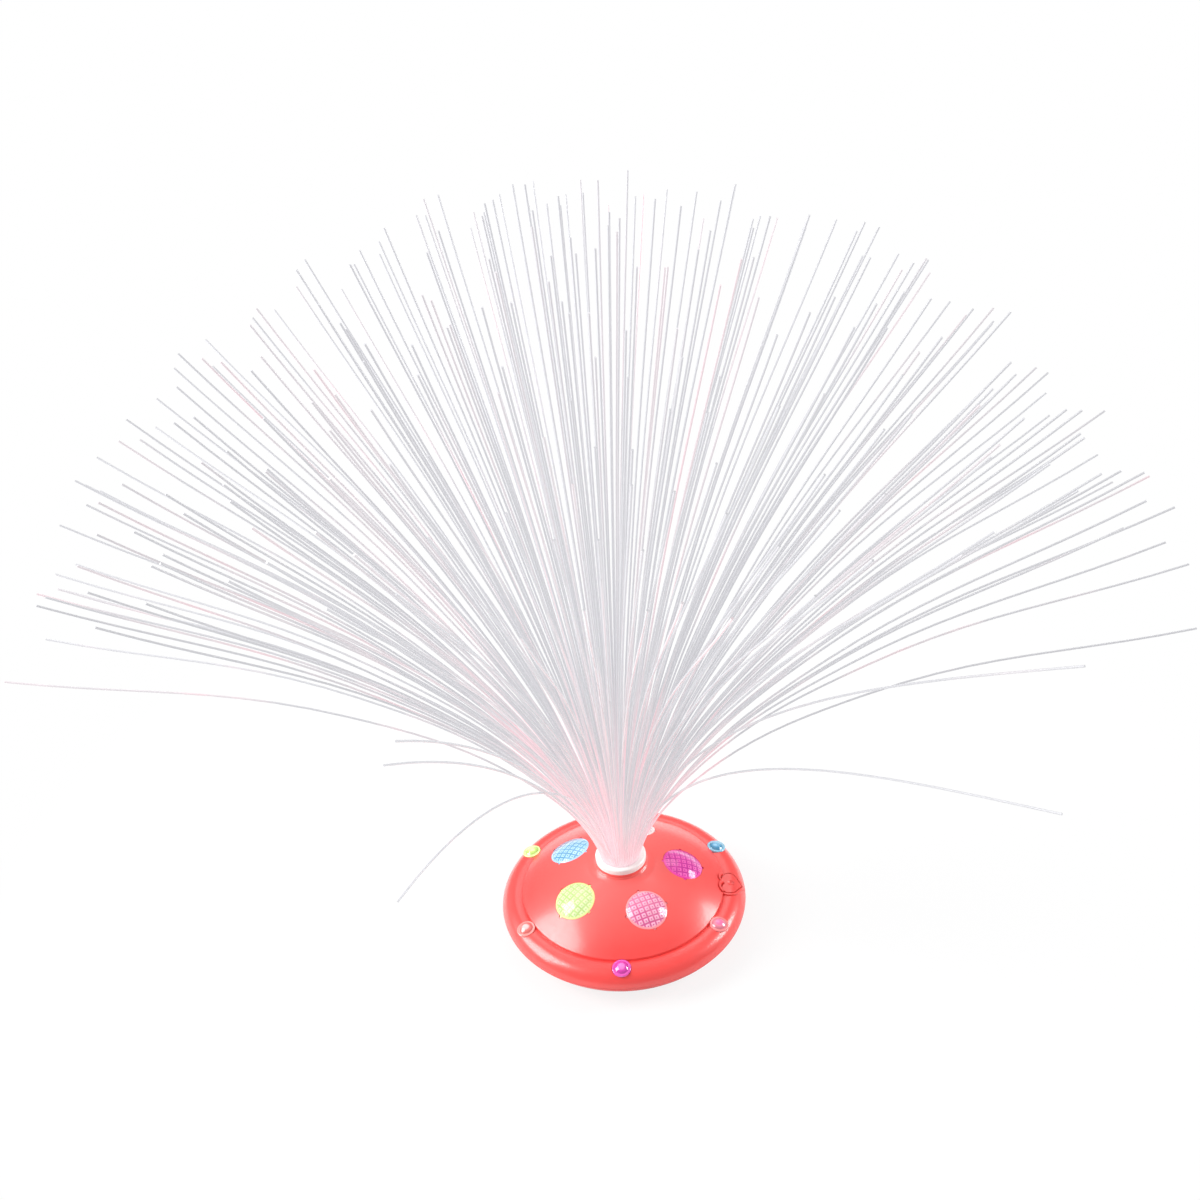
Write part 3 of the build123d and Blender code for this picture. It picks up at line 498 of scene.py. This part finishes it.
def fibre_finish():
    """Clear fibres: pale grey, with painted pink light near the collar and a painted glow, an emission,
    all along.
    """
    made, tree, shader = material("fibre_clear")
    place = object_place(tree)
    foot = (0.0, 0.0, collar_bottom)
    above = node(tree, "ShaderNodeVectorMath", operation="SUBTRACT", i0=place, i1=foot).outputs[0]
    aim = node(tree, "ShaderNodeVectorMath", operation="NORMALIZE", i0=above).outputs[0]
    streaks = noise(tree, aim, streak_scale)
    tufts = noise(tree, aim, tuft_scale, tuft_detail)
    reach = node(tree, "ShaderNodeVectorMath", operation="LENGTH", Vector=above).outputs["Value"]
    inside_collar = collar_top - collar_bottom
    rise = spread(tree, reach, inside_collar, inside_collar + painted_pink_height)
    waver = maths(
        tree, "ADD",
        spread(tree, streaks, *streak_range, *streak_waver),
        spread(tree, tufts, *tuft_range, *tuft_waver),
    )
    shown = spread(tree, rise, 0.0, waver_rise, waver_at_collar, 1.0)
    uneven = maths(tree, "ADD", rise, maths(tree, "MULTIPLY", waver, shown))
    # painted light: pink near the collar, fading to the fibres' own grey
    tint = ramp(tree, uneven, *fibre_grey_and_painted_pink)
    # painted glow: this share of the colour is given as emission instead of being lit
    shade = node(tree, "ShaderNodeVectorMath", operation="SCALE", i0=tint, Scale=1 - fibre_painted_glow)
    tree.links.new(shade.outputs[0], shader.inputs["Base Color"])
    tree.links.new(tint, shader.inputs["Emission Color"])
    shader.inputs["Emission Strength"].default_value = fibre_painted_glow
    tree.links.new(by_noise(tree, streaks, *fibre_roughness), shader.inputs["Roughness"])
    return made


# ---- pieces ----
def smooth(obj, angle=smooth_angle):
    """Smooth shading with sharp edges kept: the frame's vertices stay as they are."""
    obj.data.shade_smooth()
    obj.data.set_sharp_from_angle(angle=math.radians(angle))


def paint(name, made):
    """Gives a CAD node that is shown as it is a finish."""
    obj = frame["nodes"][name]
    obj.data.materials.clear()
    obj.data.materials.append(made)
    smooth(obj)


def place_piece(obj, finish, replaced=None):
    """Puts a piece on the lamp's base, where it may take the place of a CAD node."""
    obj.data.materials.append(finish)
    bpy.context.collection.objects.link(obj)
    bpy.context.view_layer.update()
    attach(obj, "base")
    if replaced:
        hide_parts(replaced)


def lens_plane(name, crown):
    """A lens's own plane, from the flat faces of its CAD solid: it lies crown below the lens's top."""
    mesh = frame["nodes"][name].data
    areas = {}
    for face in mesh.polygons:
        way = tuple(round(c, normal_digits) for c in face.normal)
        areas.setdefault(way, []).append((face.area, face.normal.copy()))
    flat = max(areas.values(), key=lambda faces: sum(area for area, _ in faces))
    outwards = -sum((normal * area for area, normal in flat), Vector()).normalized()
    sideways = Vector((0, 0, 1)).cross(outwards).normalized()
    axes = (sideways.cross(outwards), sideways, outwards)
    reach = [[vertex.co.dot(axis) for vertex in mesh.vertices] for axis in axes]
    middles = [(min(span) + max(span)) / 2 for span in reach[:2]]
    centre = (*middles, max(reach[2]) - crown)
    origin = sum((axis * size for axis, size in zip(axes, centre)), Vector())
    return Matrix.Translation(origin) @ Matrix(axes).transposed().to_4x4()


def arc(centre, radius, start, end, steps):
    """Points of a profile's arc; angles in degrees from the plane towards Z."""
    angles = [math.radians(start + (end - start) * step / steps) for step in range(steps + 1)]
    return [(centre[0] + radius * math.cos(a), centre[1] + radius * math.sin(a)) for a in angles]


def crown_profile(radius, top, edge):
    """A spherical crown from its top on the axis down to its edge."""
    rise = top - edge
    sphere = (radius ** 2 + rise ** 2) / (2 * rise)
    half = math.degrees(math.asin(radius / sphere))
    points = arc((0.0, top - sphere), sphere, 90.0, 90.0 - half, crown_steps)
    return [(0.0, top)] + points[1:]


def lathe(mesh, profile):
    """Adds a closed turned solid to a bmesh; the profile starts and ends on the axis."""
    rings = []
    for radius, height in profile:
        turns = range(lathe_steps) if radius > 0 else range(1)
        angles = [2 * math.pi * turn / lathe_steps for turn in turns]
        places = [(radius * math.cos(a), radius * math.sin(a), height) for a in angles]
        rings.append([mesh.verts.new(place) for place in places])
    for upper, lower in zip(rings, rings[1:]):
        for turn in range(lathe_steps):
            after = (turn + 1) % lathe_steps
            above = (upper[turn % len(upper)], upper[after % len(upper)])
            below = (lower[turn % len(lower)], lower[after % len(lower)])
            mesh.faces.new(list(dict.fromkeys((above[0], *below, above[1]))))


def frustum(mesh, x, y, wide, narrow, top, bottom):
    """Adds one square pyramid with a flat end, standing down from the lens's underside."""
    corners = ((-1, -1), (1, -1), (1, 1), (-1, 1))
    base = [mesh.verts.new((x + a * wide / 2, y + b * wide / 2, top)) for a, b in corners]
    tip = [mesh.verts.new((x + a * narrow / 2, y + b * narrow / 2, bottom)) for a, b in corners]
    mesh.faces.new(tip[::-1])
    for turn in range(4):
        after = (turn + 1) % 4
        mesh.faces.new((base[turn], tip[turn], tip[after], base[after]))


def add_pyramids(mesh):
    """Adds the grid of pyramids on a window's underside."""
    count = int(prism_reach / prism_pitch)
    for column in range(-count, count + 1):
        for row in range(-count, count + 1):
            x, y = column * prism_pitch, row * prism_pitch
            if math.hypot(abs(x) + prism_pitch / 2, abs(y) + prism_pitch / 2) < prism_reach:
                frustum(mesh, x, y, prism_pitch, prism_tip, flange_base, prism_base)


def add_tabs(mesh):
    """Adds the four locating tabs round a window."""
    size = Matrix.Diagonal((tab_end - tab_start, tab_width, tab_top - tab_base, 1.0))
    shift = Matrix.Translation(((tab_start + tab_end) / 2, 0.0, (tab_top + tab_base) / 2))
    for turn in range(4):
        tab = bmesh.ops.create_cube(mesh, size=1.0)["verts"]
        place = Matrix.Rotation(turn * math.pi / 2, 4, "Z") @ shift @ size
        bmesh.ops.transform(mesh, verts=tab, matrix=place)
        edges = list({edge for vertex in tab for edge in vertex.link_edges})
        bmesh.ops.bevel(mesh, geom=edges, offset=tab_round, segments=tab_round_steps, affect="EDGES")


def finish_mesh(name, mesh, plane, angle=smooth_angle):
    """Makes an object of a bmesh, in a lens's own plane."""
    data = bpy.data.meshes.new(name)
    bmesh.ops.recalc_face_normals(mesh, faces=mesh.faces)
    mesh.to_mesh(data)
    mesh.free()
    obj = bpy.data.objects.new(name, data)
    obj.matrix_world = plane
    smooth(obj, angle)
    return obj


def make_window(name, finish):
    """A round window: crown, flange, four locating tabs, and pyramids on its underside."""
    mesh = bmesh.new()
    inner = window_radius - window_edge_round
    edge_middle = (inner, window_edge - window_edge_round)
    profile = crown_profile(inner, window_crown, window_edge)
    profile += arc(edge_middle, window_edge_round, window_edge_lean, 0.0, window_edge_steps)
    profile += [
        (window_radius, flange_top),
        (flange_radius, flange_top),
        (flange_radius, flange_base),
        (0.0, flange_base),
    ]
    lathe(mesh, profile)
    add_pyramids(mesh)
    add_tabs(mesh)
    lens = finish_mesh(name + "_lens", mesh, lens_plane(name, window_crown))
    place_piece(lens, finish, name)


def make_bead(name, finish):
    """A small lens: crown, rounded rim, and a hollow stem."""
    mesh = bmesh.new()
    rim_middle = (bead_radius - bead_rim_round, bead_rim_top - bead_rim_round)
    profile = crown_profile(bead_dome_radius, bead_crown, bead_rim_top)
    profile += arc(rim_middle, bead_rim_round, 90.0, 0.0, bead_rim_steps)
    profile += [
        (bead_radius, bead_seat),
        (bead_stem_radius, bead_seat),
        (bead_stem_radius, bead_stem_end),
        (bead_bore_radius, bead_stem_end),
        (bead_bore_radius, bead_roof),
        (0.0, bead_roof),
    ]
    lathe(mesh, profile)
    lens = finish_mesh(name + "_lens", mesh, lens_plane(name, bead_crown), bead_smooth_angle)
    place_piece(lens, finish, name)


def fibre_lines(name):
    """The corners of each fibre's centre line, read from the solids of a CAD node, lowest first."""
    mesh = frame["nodes"][name].data
    points = np.array([v.co for v in mesh.vertices])
    keys, same = np.unique(np.round(points, place_digits), axis=0, return_inverse=True)
    same = same.ravel()
    group = np.arange(len(keys))

    def root(index):
        while group[index] != index:
            group[index] = group[group[index]]
            index = group[index]
        return index

    for edge in mesh.edges:
        a, b = root(same[edge.vertices[0]]), root(same[edge.vertices[1]])
        group[max(a, b)] = min(a, b)
    solids = {}
    for index in range(len(keys)):
        solids.setdefault(root(index), []).append(keys[index])
    lines = []
    for corners in solids.values():
        corners = np.array(corners)
        foot = corners[np.argsort(corners[:, 2])[:fibre_corners]].mean(0)
        order = np.argsort(np.linalg.norm(corners - foot, axis=1))
        lines.append(corners[order].reshape(-1, fibre_corners, 3).mean(1))
    return lines


def stray_line(heading, exit_lean, tip_lean, easing, length):
    """Points along a fibre that leans more and more towards its tip."""
    turn = math.radians(heading)
    step = length / stray_steps
    radius, height = stray_root, collar_top
    line = [(radius * math.cos(turn), radius * math.sin(turn), height)]
    for index in range(stray_steps):
        left = 1 - (index + 0.5) / stray_steps
        lean = math.radians(tip_lean - (tip_lean - exit_lean) * left ** easing)
        radius += step * math.sin(lean)
        height += step * math.cos(lean)
        line.append((radius * math.cos(turn), radius * math.sin(turn), height))
    return line


def round_fibres(name, lines):
    """Round fibres along lines, in one curve object."""
    data = bpy.data.curves.new(name, "CURVE")
    data.dimensions = "3D"
    data.bevel_depth = fibre_radius
    data.bevel_resolution = fibre_roundness
    data.resolution_u = fibre_smoothness
    data.use_fill_caps = True
    for line in lines:
        spline = data.splines.new("BEZIER")
        spline.bezier_points.add(len(line) - 1)
        for point, corner in zip(spline.bezier_points, line):
            point.co = corner
            point.handle_left_type = point.handle_right_type = "AUTO"
    return bpy.data.objects.new(name, data)


# ---- stage ----
def add_area(name, place, target_height, sides, power):
    """A rectangular light that looks at the lamp's axis."""
    data = bpy.data.lights.new(name, "AREA")
    data.shape = "RECTANGLE"
    data.size, data.size_y = sides
    data.energy = power
    obj = bpy.data.objects.new(name, data)
    bpy.context.collection.objects.link(obj)
    obj.location = place
    aim = Vector((0, 0, target_height)) - Vector(place)
    obj.rotation_euler = aim.to_track_quat("-Z", "Y").to_euler()


def add_lights():
    """Two soft windows of light that the dome mirrors low on its left and right, and one overhead."""
    for name, setting in area_lights.items():
        add_area(name, *setting)


def add_world():
    """Plain light from all round, which the camera sees as white."""
    world = bpy.data.worlds.new("studio")
    bpy.context.scene.world = world
    world.use_nodes = True
    tree = world.node_tree
    background = tree.nodes["Background"]
    background.inputs["Color"].default_value = (1, 1, 1, 1)
    seen = node(tree, "ShaderNodeLightPath").outputs["Is Camera Ray"]
    tree.links.new(spread(tree, seen, 0.0, 1.0, world_light, white), background.inputs["Strength"])


def add_floor():
    """A pale floor that shows white to the camera and keeps a faint shadow."""
    mesh = bpy.data.meshes.new("floor")
    corners = ((-1, -1), (1, -1), (1, 1), (-1, 1))
    mesh.from_pydata([(a * floor_half, b * floor_half, 0) for a, b in corners], [], [(0, 1, 2, 3)])
    floor = bpy.data.objects.new("floor", mesh)
    bpy.context.collection.objects.link(floor)
    made, tree, shader = material("floor_white")
    shader.inputs["Base Color"].default_value = (floor_grey, floor_grey, floor_grey, 1)
    shader.inputs["Roughness"].default_value = floor_roughness
    shader.inputs["Specular IOR Level"].default_value = floor_specular
    glow = node(tree, "ShaderNodeEmission", Color=(1, 1, 1, 1), Strength=white)
    seen = node(tree, "ShaderNodeLightPath").outputs["Is Camera Ray"]
    place = object_place(tree)
    away = node(tree, "ShaderNodeVectorMath", operation="LENGTH", Vector=place).outputs["Value"]
    whiteness = spread(tree, away, fade_start, fade_end, floor_whiteness, 1.0)
    mix = node(tree, "ShaderNodeMixShader", Fac=maths(tree, "MULTIPLY", seen, whiteness))
    tree.links.new(shader.outputs[0], mix.inputs[1])
    tree.links.new(glow.outputs[0], mix.inputs[2])
    tree.links.new(mix.outputs[0], tree.nodes["Material Output"].inputs["Surface"])
    mesh.materials.append(made)


def add_camera():
    """The photograph's camera: level heading, then pitch, then roll about its own axis."""
    data = bpy.data.cameras.new("camera")
    data.sensor_width = sensor_width
    data.sensor_fit = "HORIZONTAL"
    data.lens = focal_pixels * frame_scale / photo_size * sensor_width
    data.shift_x = frame_shift / photo_size
    data.clip_start = near_clip
    camera = bpy.data.objects.new("camera", data)
    bpy.context.collection.objects.link(camera)
    turn = Matrix.Rotation(math.radians(-camera_heading), 4, "Z")
    pitch = Matrix.Rotation(math.radians(90 - camera_pitch), 4, "X")
    roll = Matrix.Rotation(math.radians(camera_roll), 4, "Z")
    camera.matrix_world = Matrix.Translation(camera_place) @ turn @ pitch @ roll
    bpy.context.scene.camera = camera


# ---- finishes, by the record's slots ----
finishes = {
    "coral_red": painted_sheen_shell("coral_red"),
    "milk_white": plastic(
        "milk_white", (0.96, 0.92, 0.90),
        roughness=0.30, coat=0.4, coat_roughness=0.15, edge_round=0.2 * MM,
    ),
    "resin_clear": plastic("resin_clear", (0.80, 0.78, 0.74)),
    "lamp_clear": plastic("lamp_clear", (0.85, 0.87, 0.90)),
    "board_green": plastic("board_green", (0.03, 0.20, 0.09), roughness=0.45, coat=0.2, mottle=0.2),
    "black_resin": plastic("black_resin", (0.015, 0.015, 0.015), roughness=0.5, coat=0.0, mottle=0.2),
    "switch_black": plastic("switch_black", (0.02, 0.02, 0.02), roughness=0.4, coat=0.0, mottle=0.2),
    "cable_grey": plastic("cable_grey", (0.42, 0.43, 0.45), roughness=0.5, coat=0.0),
    "contact_steel": metal("contact_steel", (0.66, 0.66, 0.63), roughness=0.3),
    "screw_steel": metal("screw_steel", (0.55, 0.55, 0.55), roughness=0.35),
}

# each window's pale and deep shade, its ring, and how clearly its pyramids show
window_tints = {
    "green": ((0.70, 0.84, 0.48), (0.38, 0.58, 0.15), (0.70, 0.82, 0.32), 0.9),
    "pink": ((0.97, 0.48, 0.66), (0.62, 0.05, 0.24), (0.97, 0.34, 0.38), 1.0),
    "magenta": ((0.95, 0.14, 0.54), (0.50, 0.0, 0.27), (0.90, 0.06, 0.42), 1.0),
    "blue": ((0.44, 0.70, 0.86), (0.01, 0.20, 0.44), (0.36, 0.58, 0.78), 1.0),
    "clear": ((0.84, 0.76, 0.76), (0.48, 0.32, 0.34), (0.82, 0.66, 0.66), 1.0),
}
window_finishes = {
    "lens_" + hue: window_finish("window_" + hue, *tints) for hue, tints in window_tints.items()
}

# each small lens's core (the light well's end with a painted highlight), body and rim
bead_tints = {
    "magenta": ((0.90, 0.20, 0.60), (0.74, 0.05, 0.44), (0.76, 0.08, 0.46)),
    "pink": ((0.90, 0.20, 0.42), (0.92, 0.26, 0.36), (0.94, 0.24, 0.25)),
    "blue": ((0.22, 0.50, 0.72), (0.08, 0.33, 0.56), (0.30, 0.60, 0.78)),
    "green": ((0.72, 0.92, 0.36), (0.55, 0.85, 0.20), (0.68, 0.90, 0.34)),
    "clear": ((0.97, 0.55, 0.55), (0.93, 0.20, 0.18), (0.95, 0.30, 0.28)),
}
bead_finishes = {"lens_" + hue: bead_finish("bead_" + hue, *tints) for hue, tints in bead_tints.items()}
fibre_clear = fibre_finish()

# ---- the lamp ----
for part, slot in slots.items():
    if part.startswith("window_") and slot in window_finishes:
        make_window(part, window_finishes[slot])
    elif part.startswith("small_lens_"):
        make_bead(part, bead_finishes[slot])
    elif slot == "fibre_clear":
        place_piece(round_fibres(part + "_round", fibre_lines(part)), fibre_clear, part)
    elif slot == "cell_jacket":
        paint(part, cell_finish(part))
    else:
        paint(part, finishes[slot])

strays = round_fibres("fibre_strays", [stray_line(*stray) for stray in stray_fibres])
place_piece(strays, fibre_clear)

add_floor()
add_world()
add_lights()
add_camera()
bpy.context.scene.view_settings.view_transform = "Standard"
